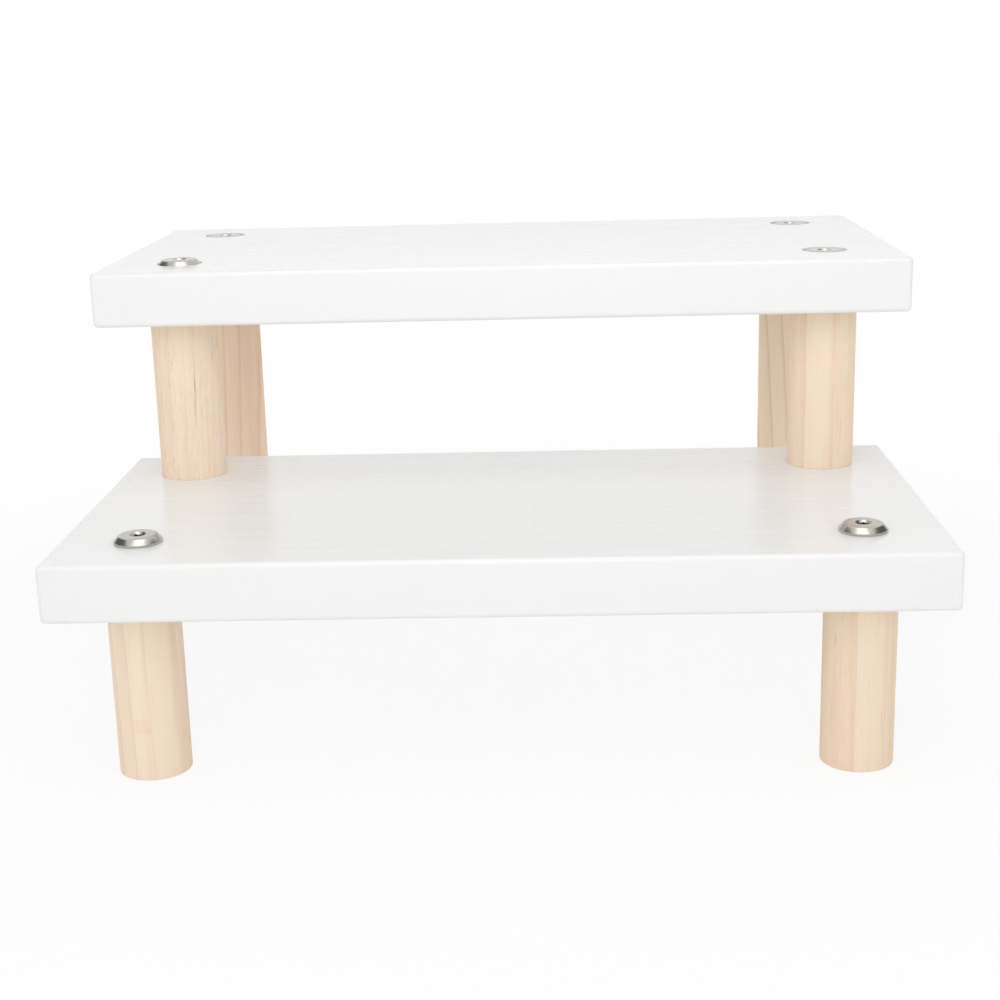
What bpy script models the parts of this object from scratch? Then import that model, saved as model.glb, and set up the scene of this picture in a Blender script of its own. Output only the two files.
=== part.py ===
"""Two-tier display stand: two white shelves stepped on round pine legs and held by connector bolts.

Metres. X runs along the shelves, Y to the back, Z up. The origin is on the floor under the middle
of the stand. Both shelves are alike, with four bolt holes each, but the upper bolts' heads are sunk
into the soft board. The lower shelf stands on the two front legs. The middle legs stand on its rear
holes and carry the front of the upper shelf, and the rear legs carry the back of the upper shelf from
the floor.
"""
import math

import bmesh
import bpy
from mathutils import Matrix

# Shelves
shelf_width = 0.300
shelf_depth = 0.150
shelf_thickness = 0.020
shelf_edge_radius = 0.0015
clear_height = 0.062  # free height under each shelf
hole_inset_side = 0.028
hole_inset_front = 0.027

# Legs
leg_diameter = 0.025
leg_end_chamfer = 0.0003
bore_spare_depth = 0.003  # beyond the bolt and the insert
drill_point_angle = math.radians(118)

# Connector bolts
bolt_diameter = 0.006
bolt_length = 0.035  # under the head
bolt_tip_chamfer = 0.0009
head_diameter = 0.0165
head_rim_height = 0.0006
head_slope_height = 0.0019
head_slope_width = 0.00225
socket_across_flats = 0.004
socket_depth = 0.0030
socket_lead_in = 0.0005  # widening of the socket's mouth, each side
slight_sink = 0.0008  # of the one upper head that isn't flush with the shelf

# Threaded inserts in the legs
insert_diameter = 0.0095
insert_length = 0.013
insert_tip_taper = 0.0010
insert_flange_diameter = 0.0118
insert_flange_thickness = 0.0009
insert_recess = 0.0005  # below the end of the leg
drive_across_flats = 0.0072
drive_depth = 0.0035

# Clearances
seat_gap = 0.0003  # between a piece and the piece that it rests on
slip_gap = 0.0003  # round a piece that goes into a hole
cut_overrun = 0.001  # cutters stand this far out of what they cut

# Finishes: colour, roughness, metallic
white_paint = (0.86, 0.86, 0.85), 0.30, 0.0
bare_pine = (0.83, 0.68, 0.49), 0.60, 0.0
bright_nickel = (0.72, 0.70, 0.66), 0.15, 1.0
plated_zinc = (0.62, 0.60, 0.54), 0.35, 1.0

# Fineness of the round pieces
leg_sides = 40
bolt_sides = 32
hole_sides = 32
insert_sides = 24
hex_sides = 6
edge_steps = 3
crease_angle = math.radians(30)

# Places that follow from the sizes
hole_x = shelf_width / 2 - hole_inset_side
row_pitch = shelf_depth - 2 * hole_inset_front  # from one row of legs to the next
lower_underside = clear_height
lower_top = lower_underside + shelf_thickness
upper_underside = lower_top + clear_height
upper_top = upper_underside + shelf_thickness
head_height = head_rim_height + head_slope_height
bolt_reach = bolt_length + head_height - shelf_thickness - seat_gap  # of a sunk bolt, into the leg
insert_reach = insert_recess + insert_length
bore_depth = max(bolt_reach, insert_reach) + bore_spare_depth
sides = {"left": -1, "right": 1}
hole_rows = {"front": -1, "rear": 1}
head_sinks = {
    "upper_front_left": slight_sink,
    "upper_front_right": head_height,
    "upper_rear_left": head_height,
    "upper_rear_right": head_height,
}


def clear_scene():
    for item in list(bpy.data.objects):
        bpy.data.objects.remove(item, do_unlink=True)


def finish_material(name, finish):
    colour, roughness, metallic = finish
    material = bpy.data.materials.new(name)
    material.use_nodes = True
    shader = material.node_tree.nodes["Principled BSDF"]
    shader.inputs["Base Color"].default_value = (*colour, 1.0)
    shader.inputs["Roughness"].default_value = roughness
    shader.inputs["Metallic"].default_value = metallic
    return material


def mesh_from(bm, name):
    bmesh.ops.recalc_face_normals(bm, faces=bm.faces)
    mesh = bpy.data.meshes.new(name)
    bm.to_mesh(mesh)
    bm.free()
    return mesh


def turned_mesh(name, profile, side_count, ring=False):
    """Turn a profile of (radius, height) points about Z; a ring's profile closes on itself."""
    bm = bmesh.new()
    rows = []
    for radius, height in profile:
        turn_count = side_count if radius > 0 else 1
        row = []
        for step in range(turn_count):
            angle = 2 * math.pi * step / side_count
            row.append(bm.verts.new((radius * math.cos(angle), radius * math.sin(angle), height)))
        rows.append(row)
    pairs = list(zip(rows, rows[1:]))
    if ring:
        pairs.append((rows[-1], rows[0]))
    for row, next_row in pairs:
        for step in range(side_count):
            after = (step + 1) % side_count
            corners = [row[step % len(row)], row[after % len(row)]]
            corners += [next_row[after % len(next_row)], next_row[step % len(next_row)]]
            bm.faces.new(dict.fromkeys(corners))
    return mesh_from(bm, name)


def hex_prism_mesh(name, across_flats, bottom, top):
    corner_radius = across_flats / math.sqrt(3)
    profile = [(0, bottom), (corner_radius, bottom), (corner_radius, top), (0, top)]
    return turned_mesh(name, profile, hex_sides)


def helper_object(name, mesh):
    helper = bpy.data.objects.new(name, mesh)
    helper.hide_render = True
    helper.display_type = "WIRE"
    bpy.context.scene.collection.objects.link(helper)
    return helper


def cut_mesh(name, body_mesh, cutter_mesh, edge_radius=0):
    """Round the body's edges if asked, take the cutter away from it and give the mesh that is left."""
    body = helper_object(name + "_body", body_mesh)
    cutter = helper_object(name + "_cutter", cutter_mesh)
    if edge_radius:
        rounding = body.modifiers.new("rounded edges", "BEVEL")
        rounding.width = edge_radius
        rounding.segments = edge_steps
        rounding.limit_method = "ANGLE"
    cut = body.modifiers.new("cut", "BOOLEAN")
    cut.operation = "DIFFERENCE"
    cut.solver = "EXACT"
    cut.object = cutter
    graph = bpy.context.evaluated_depsgraph_get()
    result = bpy.data.meshes.new_from_object(body.evaluated_get(graph))
    result.name = name
    bpy.data.objects.remove(body, do_unlink=True)
    bpy.data.objects.remove(cutter, do_unlink=True)
    return result


def board_blank_mesh():
    """A plain board about its own middle."""
    bm = bmesh.new()
    bmesh.ops.create_cube(bm, size=1)
    bmesh.ops.scale(bm, vec=(shelf_width, shelf_depth, shelf_thickness), verts=bm.verts)
    return mesh_from(bm, "board_blank")


def seat_depth(where):
    """How deep the seat of a bolt's head is in the board, or 0 where the head rests on the board."""
    sink = head_sinks.get(where, 0)
    return sink + seat_gap if sink else 0


def hole_drill_mesh(depth):
    """The drill of one bolt hole about the board's middle, wide enough for the head down to the depth."""
    hole_radius = bolt_diameter / 2 + slip_gap
    end = shelf_thickness / 2 + cut_overrun
    profile = [(0, -end), (hole_radius, -end)]
    if depth:
        seat_radius = head_diameter / 2 + slip_gap
        seat = shelf_thickness / 2 - depth
        profile += [(hole_radius, seat), (seat_radius, seat), (seat_radius, end)]
    else:
        profile += [(hole_radius, end)]
    profile += [(0, end)]
    return turned_mesh("hole_drill", profile, hole_sides)


def hole_drills_mesh(level):
    """The four drills of a shelf's bolt holes, in one cutter."""
    bm = bmesh.new()
    for side, side_sign in sides.items():
        for row, row_sign in hole_rows.items():
            drill = hole_drill_mesh(seat_depth("_".join((level, row, side))))
            drill.transform(Matrix.Translation((side_sign * hole_x, row_sign * row_pitch / 2, 0)))
            bm.from_mesh(drill)
    return mesh_from(bm, "hole_drills")


def shelf_mesh(level):
    return cut_mesh("shelf_" + level, board_blank_mesh(), hole_drills_mesh(level), shelf_edge_radius)


def bored_end(leg_end, inward):
    """Profile of a leg's end from its rim to the bottom of the bore; inward is the way the drill goes."""
    leg_radius = leg_diameter / 2
    flange_radius = insert_flange_diameter / 2 + slip_gap
    flange_depth = insert_recess + insert_flange_thickness + seat_gap
    bore_radius = insert_diameter / 2 + slip_gap
    point_depth = bore_depth + bore_radius / math.tan(drill_point_angle / 2)
    return [
        (leg_radius, leg_end + inward * leg_end_chamfer),
        (leg_radius - leg_end_chamfer, leg_end),
        (flange_radius, leg_end),
        (flange_radius, leg_end + inward * flange_depth),
        (bore_radius, leg_end + inward * flange_depth),
        (bore_radius, leg_end + inward * bore_depth),
        (0, leg_end + inward * point_depth),
    ]


def leg_mesh(name, length, bored_below):
    """A round leg standing on its own origin, bored for an insert at the top and, if asked, below."""
    leg_radius = leg_diameter / 2
    if bored_below:
        foot = bored_end(0, 1)[::-1]
    else:
        foot = [(0, 0), (leg_radius - leg_end_chamfer, 0), (leg_radius, leg_end_chamfer)]
    return turned_mesh(name, foot + bored_end(length, -1), leg_sides)


def bolt_mesh():
    """A connector bolt whose head rests on the plane of its own origin, with the shank below."""
    shank_radius = bolt_diameter / 2
    head_radius = head_diameter / 2
    blank = turned_mesh("bolt_blank", [
        (0, -bolt_length),
        (shank_radius - bolt_tip_chamfer, -bolt_length),
        (shank_radius, -bolt_length + bolt_tip_chamfer),
        (shank_radius, 0),
        (head_radius, 0),
        (head_radius, head_rim_height),
        (head_radius - head_slope_width, head_height),
        (0, head_height),
    ], bolt_sides)
    socket = hex_prism_mesh(
        "socket_cutter", socket_across_flats, head_height - socket_depth, head_height + cut_overrun)
    socketed = cut_mesh("bolt_socketed", blank, socket)
    corner_radius = socket_across_flats / math.sqrt(3)
    lead_in = turned_mesh("lead_in_cutter", [
        (0, head_height - corner_radius - socket_lead_in),
        (corner_radius + socket_lead_in + cut_overrun, head_height + cut_overrun),
        (0, head_height + cut_overrun),
    ], bolt_sides)
    return cut_mesh("bolt", socketed, lead_in)


def insert_mesh():
    """A flanged insert below the plane of its own origin, which is the end of the leg."""
    bore_radius = bolt_diameter / 2 + slip_gap
    body_radius = insert_diameter / 2
    flange_radius = insert_flange_diameter / 2
    flange_underside = -insert_recess - insert_flange_thickness
    blank = turned_mesh("insert_blank", [
        (bore_radius, -insert_recess),
        (flange_radius, -insert_recess),
        (flange_radius, flange_underside),
        (body_radius, flange_underside),
        (body_radius, -insert_reach + insert_tip_taper),
        (body_radius - insert_tip_taper, -insert_reach),
        (bore_radius, -insert_reach),
    ], insert_sides, ring=True)
    drive = hex_prism_mesh(
        "drive_cutter", drive_across_flats, -insert_recess - drive_depth, -insert_recess + cut_overrun)
    return cut_mesh("insert", blank, drive)


def place(name, mesh, material, location, stand, upside_down=False):
    """Put a piece of the stand in its place; upside_down turns it over about X."""
    piece = bpy.data.objects.new(name, mesh)
    if not mesh.materials:
        mesh.materials.append(material)
    mesh.shade_smooth()
    mesh.set_sharp_from_angle(angle=crease_angle)
    piece.location = location
    piece.rotation_euler.x = math.pi if upside_down else 0
    piece.parent = stand
    bpy.context.scene.collection.objects.link(piece)


def add_shelves(stand):
    paint = finish_material("white_paint", white_paint)
    middle = shelf_thickness / 2
    place("shelf_lower", shelf_mesh("lower"), paint, (0, -row_pitch / 2, lower_underside + middle), stand)
    place("shelf_upper", shelf_mesh("upper"), paint, (0, row_pitch / 2, upper_underside + middle), stand)


def add_legs(stand):
    pine = finish_material("bare_pine", bare_pine)
    middle_foot = lower_top + seat_gap
    front = leg_mesh("front_leg", lower_underside - seat_gap, False)
    middle = leg_mesh("middle_leg", upper_underside - seat_gap - middle_foot, True)
    rear = leg_mesh("rear_leg", upper_underside - seat_gap, False)
    for side, side_sign in sides.items():
        x = side_sign * hole_x
        place("leg_front_" + side, front, pine, (x, -row_pitch, 0), stand)
        place("leg_middle_" + side, middle, pine, (x, 0, middle_foot), stand)
        place("leg_rear_" + side, rear, pine, (x, row_pitch, 0), stand)


def add_fasteners(stand):
    """One bolt through the shelf and one insert in the leg's end at each joint of shelf and leg."""
    nickel = finish_material("bright_nickel", bright_nickel)
    zinc = finish_material("plated_zinc", plated_zinc)
    bolt = bolt_mesh()
    insert = insert_mesh()
    joints = [
        ("lower_front_", -row_pitch, lower_top, False),
        ("lower_rear_", 0, lower_underside, True),
        ("upper_front_", 0, upper_top, False),
        ("upper_rear_", row_pitch, upper_top, False),
    ]
    for joint, y, board_face, from_below in joints:
        outward = -1 if from_below else 1
        leg_end = board_face - outward * (shelf_thickness + seat_gap)
        for side, side_sign in sides.items():
            x = side_sign * hole_x
            head_seat = board_face + outward * (seat_gap - seat_depth(joint + side))
            place("bolt_" + joint + side, bolt, nickel, (x, y, head_seat), stand, from_below)
            place("insert_" + joint + side, insert, zinc, (x, y, leg_end), stand, from_below)


def build_stand():
    clear_scene()
    stand = bpy.data.objects.new("display_stand", None)
    bpy.context.scene.collection.objects.link(stand)
    add_shelves(stand)
    add_legs(stand)
    add_fasteners(stand)


build_stand()
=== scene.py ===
"""Looks of the two-tier display stand: its finer pieces, finishes, light and camera.

Metres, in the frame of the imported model: X along the shelves, Y to the back, Z up, with the origin
on the floor under the middle of the stand. Every piece stands where the solid that it replaces is.
"""
import math

import bmesh
import bpy
from mathutils import Matrix, Vector, noise


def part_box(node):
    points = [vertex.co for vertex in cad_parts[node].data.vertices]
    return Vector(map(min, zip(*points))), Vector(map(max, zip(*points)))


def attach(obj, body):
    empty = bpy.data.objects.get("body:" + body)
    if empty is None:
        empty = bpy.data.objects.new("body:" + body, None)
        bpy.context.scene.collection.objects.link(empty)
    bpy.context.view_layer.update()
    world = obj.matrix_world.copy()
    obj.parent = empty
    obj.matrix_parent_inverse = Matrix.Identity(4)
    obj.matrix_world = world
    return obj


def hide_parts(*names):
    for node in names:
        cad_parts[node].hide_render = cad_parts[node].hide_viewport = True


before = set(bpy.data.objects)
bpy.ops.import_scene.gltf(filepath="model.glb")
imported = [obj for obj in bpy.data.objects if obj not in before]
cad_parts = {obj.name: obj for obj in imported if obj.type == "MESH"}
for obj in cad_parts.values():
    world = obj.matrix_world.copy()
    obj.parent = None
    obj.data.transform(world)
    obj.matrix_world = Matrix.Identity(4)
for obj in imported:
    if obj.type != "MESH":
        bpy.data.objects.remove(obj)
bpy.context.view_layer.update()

# Camera: its angles in degrees, its lens and sensor in millimetres
camera_place = (0.01975, -0.64968, 0.24388)
camera_yaw = 1.948
camera_pitch = -15.084
camera_roll = -1.475
camera_lens = 61.75
camera_sensor = 36.0

# Light: soft light from all round, most of it low, and three softboxes; heights are sines of elevation
room_glow = 0.31
horizon_glow = 0.64
horizon_full_below = 0.45
horizon_none_above = 0.80
rear_glow = 0.50
flag_shade = 0.85  # how dark the flags to the left and the right are in a reflection
flag_sides = (0.56, 0.64)
flag_foot = (0.15, 0.25)
flag_head = (0.86, 0.78)
light_target = (0, 0, 0.09)
softboxes = {
    "top_softbox": dict(elevation=80, far=1.20, size=(0.70, 0.60), watts=2.00, mirrored=True),
    "key_softbox": dict(elevation=45, far=0.50, size=(0.50, 0.25), watts=0.51, mirrored=True),
    "low_softbox": dict(elevation=20, far=0.60, size=(0.60, 0.20), watts=0.24, mirrored=False),
}
floor_tone = 0.94
floor_half_size = 3.0
floor_segments = 8
floor_fade_start = 0.20
floor_fade_end = 0.50
floor_white = 0.84  # share of plain white in the floor where it takes the stand's shadow

# Shelves
edge_radius = 0.0015
round_steps = 5  # over each half of a rounded edge
edge_supports = (0.0, 0.0004, 0.0012, 0.003)  # how far inside a rounded edge the grid is still close
grid_spacing = 0.008
grid_digits = 7  # decimals by which two points of the grid are told apart
sanding_depth = 0.00010
sanding_scale = 90
hole_radius = 0.0033
hole_sides = 48
head_seat_radius = 0.00855
hole_inset_side = 0.028
hole_inset_front = 0.027  # from the back as well
board_drift = 0.37  # from one board to the next in the paint's patterns

# Legs
leg_sides = 96
leg_end_round = 0.00015
leg_row_spacing = 0.006
bore_depth = 0.0205
bore_radius = 0.00505
flange_bore_radius = 0.0062
flange_bore_depth = 0.0020
drill_point_angle = math.radians(118)

# Connector bolts
shank_radius = 0.003
bolt_length = 0.035
thread_length = 0.022
thread_pitch = 0.001
thread_depth = 0.0006
bolt_tip_chamfer = 0.0009
head_radius = 0.00825
head_rim_height = 0.0006
head_slope_height = 0.0019
head_slope_width = 0.00180
head_edge_round = 0.00022
crown_edge_round = 0.0014
crown_ring_inset = 3 * head_edge_round
socket_across_flats = 0.004
socket_depth = 0.0030
socket_lead_in = 0.0005
bolt_sides = 64

# Threaded inserts
insert_radius = 0.00475
insert_length = 0.013
insert_thread_pitch = 0.0025
insert_thread_depth = 0.00045
insert_flange_radius = 0.0059
insert_flange_thickness = 0.0009
insert_recess = 0.0005
drive_across_flats = 0.0072
drive_depth = 0.0035
insert_bore_radius = 0.0033
insert_sides = 48

# Shapes in general
thread_rows_per_turn = 8
thread_root_share = 0.2  # of the way from the middle of a root to the middle of a crest
thread_flank_share = 0.65  # of the same way; the rest of it is crest
hex_sides = 6
round_points = 4
cut_overrun = 0.001
weld_distance = 0.000002
seat_gap = 0.0003  # the solids keep it between a piece and its seat; here it is closed
crease_angle = math.radians(30)
turn_between_bolts = math.radians(137.5)

# White paint: its noises in patches a metre, the levels between which a mark sets in, and its shine
paint_strokes = dict(scale=(90, 900, 900), detail=3.0)
paint_ripples = dict(scale=(45, 230, 230), detail=3.0)
paint_patches = dict(scale=(9, 14, 14), detail=1.0)
paint_pore_levels = (0.62, 0.76)
paint_matt_levels = (0.42, 0.62)
paint_tones = ((0.888, 0.890, 0.886, 1), (0.902, 0.9035, 0.898, 1))
paint_pore_tint = (0.985, 0.985, 0.985, 1)
paint_ripple_height = 0.75
paint_stroke_height = 0.25
paint_pore_depth = 0.2
paint_bump = dict(strength=0.20, distance=0.0004)
paint_roughness = 0.14
paint_patch_roughness = 0.04
paint_pore_roughness = 0.08
paint_matt_roughness = 0.09
paint_index = 1.37

# Pine: its growth rings
pith_distance = 0.060
golden_share = 0.618  # from one ring's tone to the next
pine_wander = dict(scale=(55, 55, 8))
pine_waver = dict(scale=(420, 420, 40))
ring_wander = 0.16  # in rings
ring_waver = 0.0007
growth_levels = (0.10, 1.0)
late_start = (0.74, 0.96)
late_end = (1.0, 0.97)
growth_share = 0.35
late_share = 0.6
pale_pine = (0.968, 0.818, 0.658, 1)
dark_pine = (0.888, 0.702, 0.530, 1)
grown_pine = (0.880, 0.690, 0.518, 1)
late_pine = (0.850, 0.590, 0.430, 1)
warm_tint = (0.985, 0.900, 0.800, 1)

# Pine: its fibres, end grain, height and shine
grain_shift = 0.31
pine_fibres = dict(scale=(1300, 1300, 210), detail=3.0, roughness=0.6, distortion=1.0)
pine_strands = dict(scale=(420, 420, 18), distortion=0.3)
pine_checks = dict(scale=(1700, 1700, 95), detail=1.0, distortion=0.6)
pine_pores = dict(scale=(2600, 2600, 2600), detail=1.0)
fibre_levels = (0.48, 0.76)
strand_levels = (0.42, 0.72)
check_levels = (0.68, 0.80)
end_grain_levels = (0.55, 0.85)
fibre_tint = (0.93, 0.875, 0.81, 1)
strand_tint = (0.975, 0.945, 0.905, 1)
check_tint = (0.78, 0.69, 0.58, 1)
end_grain_tint = (0.86, 0.76, 0.64, 1)
end_grain_least = 0.55
end_grain_pores = 0.6
fibre_height = 0.5
late_height = 0.35
check_depth = 0.6
pore_height = 0.4
pine_bump = dict(strength=0.25, distance=0.0003)
pine_roughness = 0.52
fibre_roughness = 0.12
end_grain_roughness = 0.15
pine_index = 1.28

# Pine: a hairline split in one leg, and the end of a finger joint in another
split_angle = -68  # degrees from X, round the leg
split_width = 0.00024
split_waver = 0.0026
split_height = 0.032
split_reach = (0.010, 0.002)  # its whole half length, and the part of it that is fully open
split_tint = (0.70, 0.56, 0.44, 1)
finger_angle = -94  # degrees from X, round the leg
finger_half_width = 0.0034
finger_height = 0.0198
finger_half_length = 0.0028
finger_edge = 0.0003
finger_least = 0.4
finger_fibre_levels = (0.40, 0.70)
finger_tint = (0.965, 0.925, 0.885, 1)

# Nickel and zinc plate
nickel_marks = dict(scale=(9000, 1, 1))
nickel_smears = dict(scale=(420, 420, 420))
nickel_tones = ((0.55, 0.53, 0.49, 1), (0.47, 0.45, 0.41, 1))
nickel_bump = dict(strength=0.12, distance=0.00008)
nickel_roughness = 0.16
nickel_smear_roughness = 0.14
zinc_bloom = dict(scale=(600, 600, 600), detail=3.0)
zinc_pits = dict(scale=(3200, 3200, 3200), detail=1.0)
zinc_tones = ((0.64, 0.62, 0.55, 1), (0.52, 0.49, 0.40, 1))
zinc_bump = dict(strength=0.15, distance=0.0001)
zinc_roughness = 0.30
zinc_bloom_roughness = 0.20

# The wood of each leg: its growth rings first, then how strongly they and its fibres show
leg_woods = {
    "front_left": dict(
        outward=-12, ring_width=0.0063, line=0.0003, lean=-0.015,
        shade=0.12, first_tone=0.05, contrast=0.35, late_wood=0.5, streaks=0.25, warmth=0.0,
        finger_joint=True),
    "front_right": dict(
        outward=0, ring_width=0.0107, line=-0.0018, lean=0.0,
        shade=0.20, first_tone=0.05, contrast=0.90, late_wood=0.4, streaks=0.5, warmth=0.05),
    "middle_left": dict(
        outward=8, ring_width=0.0019, line=0.0, lean=0.03,
        shade=0.20, first_tone=0.3, contrast=0.25, late_wood=0.3, streaks=1.0, warmth=0.05,
        split=True),
    "middle_right": dict(
        outward=0, ring_width=0.0110, line=-0.0063, lean=0.0,
        shade=0.25, first_tone=0.1, contrast=0.50, late_wood=0.7, streaks=0.4, warmth=0.05),
    # The rear legs get the palest wood (shade 0) and weak rings. This is painted light: their wood is
    # paler than the other legs' to make up for light that does not reach them under the upper shelf
    "rear_left": dict(
        outward=-4, ring_width=0.0060, line=-0.0033, lean=0.037,
        shade=0.0, first_tone=0.2, contrast=0.20, late_wood=0.9, streaks=0.3, warmth=0.6),
    "rear_right": dict(
        outward=-6, ring_width=0.0069, line=0.0005, lean=-0.071,
        shade=0.0, first_tone=0.2, contrast=0.25, late_wood=1.0, streaks=0.5, warmth=0.3),
}

# Sockets of a Mix node that are for colours
mix_share = 0
mix_first = 6
mix_second = 7
mix_result = 2

head_height = head_rim_height + head_slope_height
sides = ("left", "right")
joints = ("lower_front", "lower_rear", "upper_front", "upper_rear")


class Wire:
    """An output of a node, which sums and products may be written with."""

    def __init__(self, finish, socket):
        self.finish = finish
        self.socket = socket

    def maths(self, operation, *terms):
        return self.finish.add("Math", {"operation": operation}, dict(enumerate(terms)))

    def __add__(self, other):
        return self.maths("ADD", self, other)

    __radd__ = __add__

    def __sub__(self, other):
        return self.maths("SUBTRACT", self, other)

    def __rsub__(self, other):
        return self.maths("SUBTRACT", other, self)

    def __mul__(self, other):
        return self.maths("MULTIPLY", self, other)

    __rmul__ = __mul__

    def __truediv__(self, other):
        return self.maths("DIVIDE", self, other)

    def __pow__(self, other):
        return self.maths("POWER", self, other)

    def __abs__(self):
        return self.maths("ABSOLUTE", self)


class Finish:
    """The nodes of a material or of the world, each of which is added by one method."""

    def __init__(self, tree):
        self.tree = tree
        self.tree.nodes.clear()

    def add(self, kind, settings=(), sockets=(), output=0):
        """Add a node; output names the socket that is given back, or several."""
        node = self.tree.nodes.new("ShaderNode" + kind)
        for setting, value in dict(settings).items():
            setattr(node, setting, value)
        for key, value in dict(sockets).items():
            if isinstance(value, Wire):
                self.tree.links.new(value.socket, node.inputs[key])
            else:
                node.inputs[key].default_value = value
        if not node.outputs:
            return None
        if isinstance(output, tuple):
            return [Wire(self, node.outputs[key]) for key in output]
        return Wire(self, node.outputs[output])

    def place(self):
        """The place on the piece, from the piece's own origin."""
        return self.add("TexCoord", output="Object")

    def split(self, vector):
        return self.add("SeparateXYZ", sockets={0: vector}, output=(0, 1, 2))

    def join(self, x, y, z):
        return self.add("CombineXYZ", sockets={0: x, 1: y, 2: z})

    def scaled(self, vector, scale):
        return self.add("VectorMath", {"operation": "MULTIPLY"}, {0: vector, 1: scale})

    def shifted(self, vector, shift):
        return self.add("VectorMath", {"operation": "ADD"}, {0: vector, 1: shift})

    def cloud(self, vector, scale, detail=2.0, roughness=0.5, distortion=0.0):
        """Soft noise from 0 to 1; scale is in patches a metre, one number for each axis."""
        return self.add("TexNoise", sockets={
            "Vector": self.scaled(vector, scale),
            "Scale": 1.0,
            "Detail": detail,
            "Roughness": roughness,
            "Distortion": distortion,
        })

    def swing(self, vector, **noise_settings):
        """Soft noise to either side of 0."""
        return self.cloud(vector, **noise_settings) - 0.5

    def step(self, value, low, high):
        """0 below low, 1 above high, smooth between; low may be the larger."""
        sockets = {"Value": value, "From Min": low, "From Max": high}
        return self.add("MapRange", {"interpolation_type": "SMOOTHSTEP"}, sockets)

    def blend(self, share, first, second):
        """A colour between two colours."""
        sockets = {mix_share: share, mix_first: first, mix_second: second}
        return self.add("Mix", {"data_type": "RGBA"}, sockets, mix_result)

    def times(self, colour, tint, share):
        """A colour multiplied by another, as far as the share says."""
        settings = {"data_type": "RGBA", "blend_type": "MULTIPLY"}
        sockets = {mix_share: share, mix_first: colour, mix_second: tint}
        return self.add("Mix", settings, sockets, mix_result)

    def bump(self, height, strength, distance):
        return self.add("Bump", sockets={"Height": height, "Strength": strength, "Distance": distance})

    def surface(self, sockets):
        shader = self.add("BsdfPrincipled", sockets=sockets)
        self.add("OutputMaterial", sockets={"Surface": shader})

    def ray_kinds(self):
        """Whether a ray is the camera's own, or one that a mirror or glass sends on."""
        return self.add("LightPath", output=("Is Camera Ray", "Is Glossy Ray", "Is Transmission Ray"))


def material_finish(name):
    material = bpy.data.materials.new(name)
    material.use_nodes = True
    return material, Finish(material.node_tree)


def grey(level):
    return (level, level, level, 1.0)


# White paint over a grained board

def white_paint(name, drift):
    """Satin white paint that lets the board's grain, along X, through; drift makes boards differ."""
    material, paint = material_finish(name)
    place = paint.shifted(paint.place(), (drift, drift, 0))
    strokes = paint.cloud(place, **paint_strokes)
    ripples = paint.cloud(place, **paint_ripples)
    patches = paint.cloud(place, **paint_patches)
    pores = paint.step(strokes, *paint_pore_levels)
    matt = paint.step(ripples, *paint_matt_levels)
    shade = paint.blend(patches, *paint_tones)
    height = ripples * paint_ripple_height + strokes * paint_stroke_height - pores * paint_pore_depth
    dulled = patches * paint_patch_roughness + pores * paint_pore_roughness + matt * paint_matt_roughness
    paint.surface({
        "Base Color": paint.times(shade, paint_pore_tint, pores),
        "Roughness": paint_roughness + dulled,
        "IOR": paint_index,
        "Normal": paint.bump(height, **paint_bump),
    })
    return material


# Bare pine, one material a leg, because each leg is cut from its own place in the trunk

def rings_in(wood, place, grain_place, outward, ring_width, line, lean):
    """Growth rings, counted outward from the line."""
    angle = math.radians(outward)
    way = (math.cos(angle), math.sin(angle))
    x, y, z = wood.split(place)
    from_pith_x = x + way[0] * pith_distance - z * (way[0] * lean)
    from_pith_y = y + way[1] * pith_distance - z * (way[1] * lean)
    out = (from_pith_x ** 2.0 + from_pith_y ** 2.0) ** 0.5 - (pith_distance + line)
    wander = wood.swing(grain_place, **pine_wander) * ring_wander
    waver = wood.swing(grain_place, **pine_waver) * (ring_waver / ring_width)
    return out / ring_width + wander + waver


def seen_from(wood, place, angle):
    """How far a place is across, outward and up, as seen from one side of a leg."""
    x, y, z = wood.split(place)
    around = math.radians(angle)
    across = y * math.cos(around) - x * math.sin(around)
    outward = x * math.cos(around) + y * math.sin(around)
    return across, outward, z


def split_in(wood, place, grain_place):
    """A hairline split on one side of a leg."""
    across, outward, up = seen_from(wood, place, split_angle)
    wavering = across + wood.swing(grain_place, **pine_waver) * split_waver
    here = wood.step(outward, 0.0, split_width) * wood.step(abs(up - split_height), *split_reach)
    return here * wood.step(abs(wavering), split_width, 0.0)


def finger_joint_in(wood, place):
    """The end of a glued finger joint on one side of a leg."""
    across, outward, up = seen_from(wood, place, finger_angle)
    inside = wood.step(abs(across), finger_half_width, finger_half_width - finger_edge)
    level = wood.step(abs(up - finger_height), finger_half_length, finger_half_length - finger_edge)
    return inside * level * wood.step(outward, 0.0, finger_edge)


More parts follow.
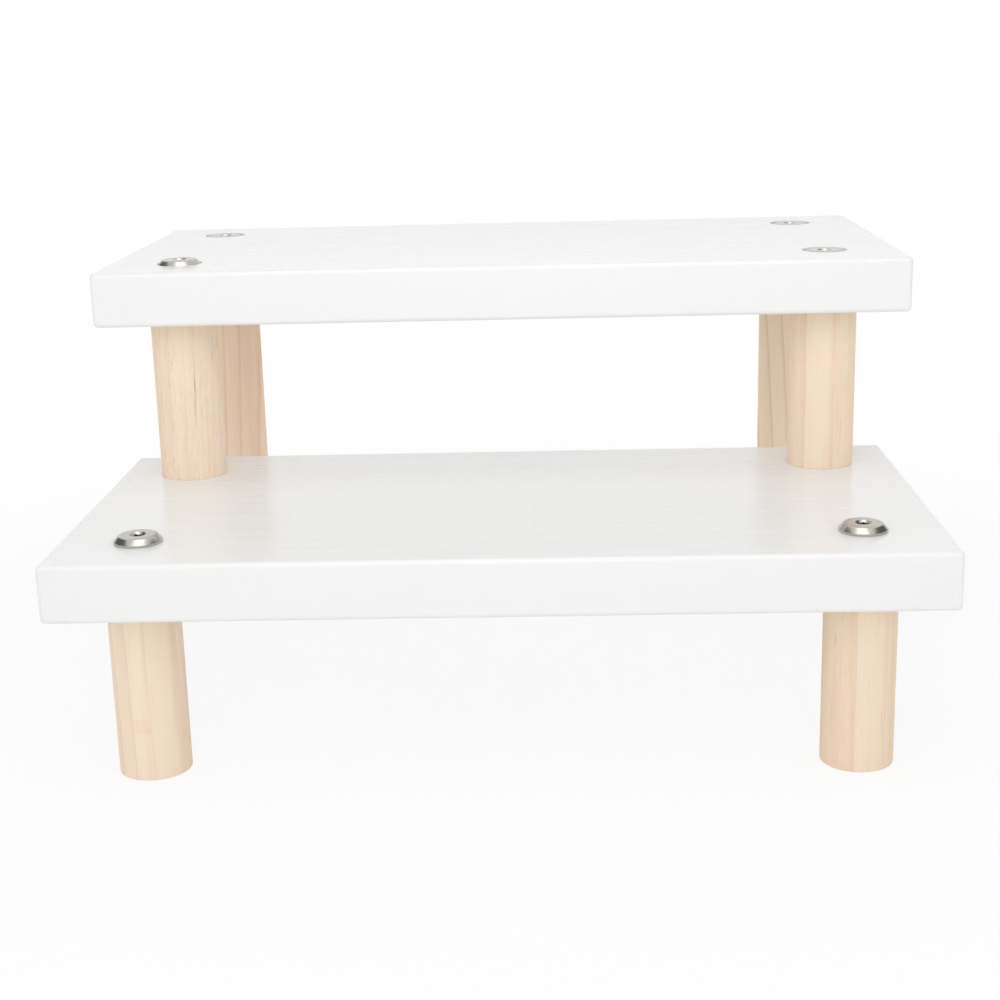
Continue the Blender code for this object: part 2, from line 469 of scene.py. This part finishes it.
def pine(name, drift, outward, ring_width, line, lean, shade, first_tone, contrast, late_wood, streaks,
         warmth, split=False, finger_joint=False):
    """Sanded pine. Outward is the way from the pith, in degrees from X; line is how far out from the
    leg's axis one of the growth rings ends at the foot, and lean how fast that moves up the leg.
    From 0 to 1, shade is the darkness all over, first_tone that of the ring past that line, and
    contrast, late_wood, streaks and warmth are those of the rings, their ends, the fibres and the
    colour. Drift moves the fine grain, so that no two legs share it."""
    material, wood = material_finish(name)
    place = wood.place()
    grain_place = wood.shifted(place, (drift, drift, drift))

    rings = rings_in(wood, place, grain_place, outward, ring_width, line, lean)
    age = rings.maths("FRACT", rings)
    year = rings.maths("FLOOR", rings) * golden_share + first_tone
    tone = shade + year.maths("FRACT", year) * contrast
    growth = wood.step(age, *growth_levels) * contrast
    late = wood.step(age, *late_start) * wood.step(age, *late_end) * late_wood
    colour = wood.blend(tone, pale_pine, dark_pine)
    colour = wood.blend(growth * growth_share, colour, grown_pine)
    colour = wood.blend(late * late_share, colour, late_pine)
    colour = wood.times(colour, warm_tint, warmth)

    fibres = wood.cloud(grain_place, **pine_fibres)
    strands = wood.cloud(grain_place, **pine_strands)
    checks = wood.step(wood.cloud(grain_place, **pine_checks), *check_levels)
    colour = wood.times(colour, strand_tint, wood.step(strands, *strand_levels))
    colour = wood.times(colour, fibre_tint, wood.step(fibres, *fibre_levels) * streaks)
    colour = wood.times(colour, check_tint, checks * streaks)
    if split:
        colour = wood.times(colour, split_tint, split_in(wood, place, grain_place))
    if finger_joint:
        glued = finger_joint_in(wood, place) * (finger_least + wood.step(fibres, *finger_fibre_levels))
        colour = wood.times(colour, finger_tint, glued)

    normal_z = wood.split(wood.add("NewGeometry", output="Normal"))[2]
    end_grain = wood.step(abs(normal_z), *end_grain_levels)
    pores = wood.cloud(grain_place, **pine_pores)
    colour = wood.times(colour, end_grain_tint, end_grain * (end_grain_least + pores * end_grain_pores))
    height = fibres * fibre_height + late * late_height - checks * check_depth
    height = height + pores * end_grain * pore_height
    wood.surface({
        "Base Color": colour,
        "Roughness": pine_roughness + fibres * fibre_roughness + end_grain * end_grain_roughness,
        "IOR": pine_index,
        "Normal": wood.bump(height, **pine_bump),
    })
    return material


# Plated steel

def bright_nickel():
    """Nickel plate with faint turning marks round the bolt's axis and a handled, uneven shine."""
    material, plate = material_finish("bright_nickel_plate")
    place = plate.place()
    x, y, _ = plate.split(place)
    radius = (x ** 2.0 + y ** 2.0) ** 0.5
    marks = plate.cloud(plate.join(radius, 0.0, 0.0), **nickel_marks)
    smears = plate.cloud(place, **nickel_smears)
    plate.surface({
        "Base Color": plate.blend(smears, *nickel_tones),
        "Roughness": nickel_roughness + smears * nickel_smear_roughness,
        "Metallic": 1.0,
        "Normal": plate.bump(marks, **nickel_bump),
    })
    return material


def plated_zinc():
    """Dull zinc plate, a little yellow, with a cloudy bloom."""
    material, plate = material_finish("dull_zinc_plate")
    place = plate.place()
    bloom = plate.cloud(place, **zinc_bloom)
    pits = plate.cloud(place, **zinc_pits)
    plate.surface({
        "Base Color": plate.blend(bloom, *zinc_tones),
        "Roughness": zinc_roughness + bloom * zinc_bloom_roughness,
        "Metallic": 1.0,
        "Normal": plate.bump(pits, **zinc_bump),
    })
    return material


# Mesh making

def mesh_from(bm, name):
    bmesh.ops.recalc_face_normals(bm, faces=bm.faces)
    mesh = bpy.data.meshes.new(name)
    bm.to_mesh(mesh)
    bm.free()
    return mesh


def turned_mesh(name, rows, side_count, ring=False):
    """Turn rows of (radius, height) about Z; a radius may be a list with one for each side."""
    bm = bmesh.new()
    turned = []
    for radius, height in rows:
        row = []
        if radius == 0:
            row.append(bm.verts.new((0, 0, height)))
        else:
            radii = radius if isinstance(radius, list) else [radius] * side_count
            for side, reach in enumerate(radii):
                angle = 2 * math.pi * side / side_count
                row.append(bm.verts.new((reach * math.cos(angle), reach * math.sin(angle), height)))
        turned.append(row)
    pairs = list(zip(turned, turned[1:]))
    if ring:
        pairs.append((turned[-1], turned[0]))
    for row, next_row in pairs:
        for side in range(side_count):
            after = (side + 1) % side_count
            corners = [row[side % len(row)], row[after % len(row)]]
            corners += [next_row[after % len(next_row)], next_row[side % len(next_row)]]
            bm.faces.new(dict.fromkeys(corners))
    return mesh_from(bm, name)


def rounded(before, corner, after, radius):
    """Points that round off one corner of a profile, between the points before and after it."""
    corner = Vector(corner)
    to_before = (Vector(before) - corner).normalized()
    to_after = (Vector(after) - corner).normalized()
    half_angle = to_before.angle(to_after) / 2
    centre = corner + (to_before + to_after).normalized() * (radius / math.sin(half_angle))
    tangent = radius / math.tan(half_angle)
    start = corner + to_before * tangent - centre
    end = corner + to_after * tangent - centre
    points = []
    for step in range(round_points + 1):
        share = step / round_points
        points.append(tuple(centre + start.lerp(end, share).normalized() * radius))
    return points


def thread_rows(radius, depth, pitch, low, high, side_count):
    """Rows of a thread that runs out at both ends, for a turned mesh."""
    rows = []
    row_count = round((high - low) / pitch * thread_rows_per_turn)
    for row in range(row_count + 1):
        height = low + (high - low) * row / row_count
        run_out = min(1, (height - low) / pitch, (high - height) / pitch)
        radii = []
        for side in range(side_count):
            turn = (height / pitch - side / side_count) % 1
            flank = 1 - abs(2 * turn - 1)
            crest = max(0, min(1, (flank - thread_root_share) / thread_flank_share))
            radii.append(radius - depth * (1 - crest) * max(0, run_out))
        rows.append((radii, height))
    return rows


def helper_object(name, mesh):
    helper = bpy.data.objects.new(name, mesh)
    bpy.context.scene.collection.objects.link(helper)
    return helper


def weld(mesh):
    """Join the points that a cut has left in one place."""
    bm = bmesh.new()
    bm.from_mesh(mesh)
    bmesh.ops.remove_doubles(bm, verts=bm.verts, dist=weld_distance)
    bmesh.ops.dissolve_degenerate(bm, dist=weld_distance, edges=bm.edges)
    bm.to_mesh(mesh)
    bm.free()


def cut_mesh(name, body_mesh, cutter_mesh):
    """Take the cutter away from the body and give the mesh that is left."""
    body = helper_object(name + "_body", body_mesh)
    cutter = helper_object(name + "_cutter", cutter_mesh)
    cut = body.modifiers.new("cut", "BOOLEAN")
    cut.operation = "DIFFERENCE"
    cut.solver = "EXACT"
    cut.object = cutter
    graph = bpy.context.evaluated_depsgraph_get()
    result = bpy.data.meshes.new_from_object(body.evaluated_get(graph))
    result.name = name
    weld(result)
    bpy.data.objects.remove(body, do_unlink=True)
    bpy.data.objects.remove(cutter, do_unlink=True)
    return result


def hex_prism_mesh(name, across_flats, bottom, top):
    corner = across_flats / math.sqrt(3)
    return turned_mesh(name, [(0, bottom), (corner, bottom), (corner, top), (0, top)], hex_sides)


# Shelves

def grid_lines(half):
    """Where a board's grid crosses one axis: close over its rounded edges, wide apart between them."""
    flat_end = half - edge_radius
    lines = []
    for step in range(1, round_steps + 1):
        lines.append(flat_end + edge_radius * math.tan(math.pi / 4 * step / round_steps))
    for support in edge_supports:
        lines.append(flat_end - support)
    inner_end = min(lines)
    lines += [-line for line in lines]
    count = max(2, round(2 * inner_end / grid_spacing))
    for step in range(1, count):
        lines.append(-inner_end + 2 * inner_end * step / count)
    return sorted(lines)


def eased(place, half):
    """Move a point of a square-edged board to the rounded, hand-sanded one."""
    inner = []
    for value, reach in zip(place, half):
        limit = reach - edge_radius
        inner.append(max(-limit, min(limit, value)))
    inner = Vector(inner)
    way = (Vector(place) - inner).normalized()
    roundness = 2 * (abs(way.x * way.y) + abs(way.y * way.z) + abs(way.z * way.x))  # 0 on the flats
    sanding = sanding_depth * roundness * (1 + noise.noise(inner * sanding_scale))
    return inner + way * (edge_radius - sanding)


def board_mesh(name, half):
    """A board about its own middle, with rounded edges on a fine grid."""
    lines = [grid_lines(reach) for reach in half]
    bm = bmesh.new()
    made = {}

    def point(axis, end, first, first_line, second, second_line):
        place = [0.0, 0.0, 0.0]
        place[axis] = end
        place[first] = first_line
        place[second] = second_line
        key = tuple(round(value, grid_digits) for value in place)
        if key not in made:
            made[key] = bm.verts.new(eased(place, half))
        return made[key]

    for axis in range(3):
        first, second = (other for other in range(3) if other != axis)
        for end in (-half[axis], half[axis]):
            for low, high in zip(lines[first], lines[first][1:]):
                for near, far in zip(lines[second], lines[second][1:]):
                    bm.faces.new([
                        point(axis, end, first, low, second, near),
                        point(axis, end, first, high, second, near),
                        point(axis, end, first, high, second, far),
                        point(axis, end, first, low, second, far),
                    ])
    return mesh_from(bm, name)


def drill_mesh(half_thickness, depth):
    """The drill of one bolt hole about the board's middle, as wide as the head down to the depth."""
    end = half_thickness + cut_overrun
    rows = [(0, -end), (hole_radius, -end)]
    if depth > 0:
        seat = half_thickness - depth
        rows += [(hole_radius, seat), (head_seat_radius, seat), (head_seat_radius, end)]
    else:
        rows += [(hole_radius, end)]
    rows += [(0, end)]
    return turned_mesh("hole_drill", rows, hole_sides)


def drills_mesh(level, board_top, half):
    """The four drills of a shelf's bolt holes, in one cutter; only upper heads are sunk in."""
    bm = bmesh.new()
    for side, x in zip(sides, (-half[0] + hole_inset_side, half[0] - hole_inset_side)):
        for row, y in (("front", -half[1] + hole_inset_front), ("rear", half[1] - hole_inset_front)):
            head_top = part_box("_".join(("bolt", level, row, side)))[1].z
            sink = board_top + head_height - head_top
            drill = drill_mesh(half[2], depth=sink + seat_gap if level == "upper" else 0)
            drill.transform(Matrix.Translation((x, y, 0)))
            bm.from_mesh(drill)
    return mesh_from(bm, "hole_drills")


# Legs

def bored_end(leg_end, inward):
    """Profile of a leg's end from inside its rim to the bottom of the bore."""
    point_depth = bore_depth + bore_radius / math.tan(drill_point_angle / 2)
    return [
        (flange_bore_radius, leg_end),
        (flange_bore_radius, leg_end + inward * flange_bore_depth),
        (bore_radius, leg_end + inward * flange_bore_depth),
        (bore_radius, leg_end + inward * bore_depth),
        (0, leg_end + inward * point_depth),
    ]


def leg_mesh(name, radius, length, bored_below):
    """A round leg standing on its own origin, bored at the top and, if asked, below."""
    foot = bored_end(0, 1)[::-1] if bored_below else [(0, 0), (radius / 2, 0)]
    foot += rounded((0, 0), (radius, 0), (radius, length), leg_end_round)
    wall_start = 2 * leg_end_round
    row_count = round((length - 2 * wall_start) / leg_row_spacing)
    wall = []
    for row in range(row_count + 1):
        wall.append((radius, wall_start + (length - 2 * wall_start) * row / row_count))
    top = rounded((radius, 0), (radius, length), (0, length), leg_end_round)
    return turned_mesh(name, foot + wall + top + bored_end(length, -1), leg_sides)


# Fasteners

def bolt_blank_mesh():
    """A connector bolt as turned and threaded, without its socket."""
    tip = -bolt_length
    crown_radius = head_radius - head_slope_width
    rows = [(0, tip), (shank_radius - bolt_tip_chamfer, tip)]
    thread_start = tip + bolt_tip_chamfer
    rows += thread_rows(
        shank_radius, thread_depth, thread_pitch, thread_start, tip + thread_length, bolt_sides)
    rows += [(shank_radius, -seat_gap), (head_radius, -seat_gap)]
    rim = (head_radius, head_rim_height)
    crown = (crown_radius, head_height)
    rows += rounded((head_radius, 0), rim, crown, head_edge_round)
    rows += rounded(rim, crown, (0, head_height), crown_edge_round)
    rows += [(crown_radius - crown_ring_inset, head_height), (0, head_height)]
    return turned_mesh("bolt_blank", rows, bolt_sides)


def bolt_mesh():
    """A connector bolt whose head rests on the plane of its own origin, with its shank below."""
    socket = hex_prism_mesh(
        "socket_cutter", socket_across_flats, head_height - socket_depth, head_height + cut_overrun)
    socketed = cut_mesh("bolt_socketed", bolt_blank_mesh(), socket)
    corner = socket_across_flats / math.sqrt(3)
    lead_in = turned_mesh("lead_in_cutter", [
        (0, head_height - corner - socket_lead_in),
        (corner + socket_lead_in + cut_overrun, head_height + cut_overrun),
        (0, head_height + cut_overrun),
    ], bolt_sides)
    return cut_mesh("connector_bolt", socketed, lead_in)


def insert_mesh():
    """A flanged insert with a coarse thread, below the plane of its own origin: the end of the leg."""
    flange_underside = -insert_recess - insert_flange_thickness
    tip = -insert_recess - insert_length
    rows = [(insert_bore_radius, -insert_recess), (insert_flange_radius, -insert_recess)]
    rows += [(insert_flange_radius, flange_underside)]
    coarse = thread_rows(
        insert_radius, insert_thread_depth, insert_thread_pitch, tip, flange_underside, insert_sides)
    rows += coarse[::-1]
    rows += [(insert_bore_radius, tip)]
    blank = turned_mesh("insert_blank", rows, insert_sides, ring=True)
    drive = hex_prism_mesh(
        "drive_cutter", drive_across_flats, -insert_recess - drive_depth, -insert_recess + cut_overrun)
    return cut_mesh("threaded_insert", blank, drive)


# Putting the stand together

def put(name, node, mesh, material, location, turn=0.0, upside_down=False):
    """Put a piece where its solid is, and have it stand for that solid."""
    if not mesh.materials:
        mesh.materials.append(material)
    mesh.shade_smooth()
    mesh.set_sharp_from_angle(angle=crease_angle)
    piece = bpy.data.objects.new(name, mesh)
    piece.location = location
    piece.rotation_euler = (math.pi if upside_down else 0, 0, turn)
    bpy.context.scene.collection.objects.link(piece)
    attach(piece, "root")
    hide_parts(node)


def add_shelves():
    for number, level in enumerate(("lower", "upper")):
        node = "shelf_" + level
        low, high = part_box(node)
        half = (high - low) / 2
        drills = drills_mesh(level, high.z, half)
        mesh = cut_mesh("board_" + level, board_mesh("board_blank", half), drills)
        paint = white_paint("white_paint_" + level, board_drift * number)
        put("painted_shelf_" + level, node, mesh, paint, (low + high) / 2)


def add_legs():
    for number, (where, grain) in enumerate(leg_woods.items(), 1):
        node = "leg_" + where
        low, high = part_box(node)
        radius = (high.x - low.x) / 2
        middle = (low + high) / 2
        bored_below = where.startswith("middle")
        foot = low.z - seat_gap if bored_below else low.z
        mesh = leg_mesh(node, radius, high.z + seat_gap - foot, bored_below)
        wood = pine("pine_" + where, number * grain_shift, **grain)
        put("pine_leg_" + where, node, mesh, wood, (middle.x, middle.y, foot))


def add_fasteners():
    nickel = bright_nickel()
    zinc = plated_zinc()
    bolt = bolt_mesh()
    insert = insert_mesh()
    turn = 0.0
    for joint in joints:
        from_below = joint == "lower_rear"
        for side in sides:
            where = joint + "_" + side
            low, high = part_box("bolt_" + where)
            middle = (low + high) / 2
            seat = low.z + head_height if from_below else high.z - head_height
            put("nickel_bolt_" + where, "bolt_" + where, bolt, nickel,
                (middle.x, middle.y, seat), turn, from_below)
            low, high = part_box("insert_" + where)
            leg_end = low.z - insert_recess if from_below else high.z + insert_recess
            put("zinc_insert_" + where, "insert_" + where, insert, zinc,
                (middle.x, middle.y, leg_end), turn, from_below)
            turn += turn_between_bolts


# Studio

def add_floor():
    """A plain white floor that keeps the stand's soft shadow and fades to the white behind it."""
    bm = bmesh.new()
    bmesh.ops.create_grid(
        bm, x_segments=floor_segments, y_segments=floor_segments, size=floor_half_size)
    mesh = mesh_from(bm, "studio_floor")
    material, white = material_finish("studio_floor")
    far = white.add("VectorMath", {"operation": "LENGTH"}, {0: white.place()}, output="Value")
    fade = floor_white + (1 - floor_white) * white.step(far, floor_fade_start, floor_fade_end)
    camera, glossy, transmission = white.ray_kinds()
    seen = camera.maths("MAXIMUM", camera, glossy.maths("MAXIMUM", glossy, transmission))
    paper = white.add("BsdfDiffuse", sockets={"Color": grey(floor_tone)})
    glow = white.add("Emission", sockets={"Color": grey(1.0), "Strength": 1.0})
    shown = white.add("MixShader", sockets={0: fade * seen, 1: paper, 2: glow})
    white.add("OutputMaterial", sockets={"Surface": shown})
    mesh.materials.append(material)
    floor = bpy.data.objects.new("studio_floor", mesh)
    bpy.context.scene.collection.objects.link(floor)


def add_world():
    """White behind the stand and in reflections, but for two dark flags; soft light from all round."""
    world = bpy.data.worlds.new("studio")
    world.use_nodes = True
    sky = Finish(world.node_tree)
    x, y, z = sky.split(sky.add("TexCoord", output="Generated"))
    horizon = sky.step(z, horizon_none_above, horizon_full_below)
    glow = room_glow + horizon_glow * horizon + rear_glow * y.maths("MAXIMUM", y, 0.0)
    flags = sky.step(abs(x), *flag_sides) * sky.step(z, *flag_foot) * sky.step(z, *flag_head)
    room = 1 - flag_shade * flags
    camera, glossy, transmission = sky.ray_kinds()
    mirrored = glossy.maths("MAXIMUM", glossy, transmission)
    strength = mirrored * room + (1 - mirrored) * glow
    strength = camera + (1 - camera) * strength
    white = sky.add("Background", sockets={"Color": grey(1.0), "Strength": strength})
    sky.add("OutputWorld", sockets={"Surface": white})
    bpy.context.scene.world = world


def add_softbox(name, elevation, far, size, watts, mirrored):
    """A softbox that faces the stand from the front or from above. The camera doesn't see it, and
    reflections show it only where mirrored says so."""
    lamp = bpy.data.lights.new(name, "AREA")
    lamp.shape = "RECTANGLE"
    lamp.size, lamp.size_y = size
    lamp.energy = watts
    up = math.radians(elevation)
    way = Vector((0, -math.cos(up), math.sin(up)))
    softbox = bpy.data.objects.new(name, lamp)
    softbox.location = Vector(light_target) + way * far
    softbox.rotation_euler = way.to_track_quat("Z", "Y").to_euler()
    softbox.visible_camera = False
    softbox.visible_glossy = mirrored
    bpy.context.scene.collection.objects.link(softbox)


def add_camera():
    camera = bpy.data.objects.new("camera", bpy.data.cameras.new("camera"))
    camera.data.lens = camera_lens
    camera.data.sensor_width = camera_sensor
    turn = Matrix.Rotation(math.radians(camera_yaw), 4, "Z")
    tilt = Matrix.Rotation(math.radians(90 + camera_pitch), 4, "X")
    roll = Matrix.Rotation(math.radians(camera_roll), 4, "Z")
    camera.matrix_world = Matrix.Translation(camera_place) @ turn @ tilt @ roll
    bpy.context.scene.collection.objects.link(camera)
    bpy.context.scene.camera = camera


bpy.context.scene.view_settings.view_transform = "Standard"
add_camera()
add_world()
add_floor()
for name, box in softboxes.items():
    add_softbox(name, **box)
add_shelves()
add_legs()
add_fasteners()
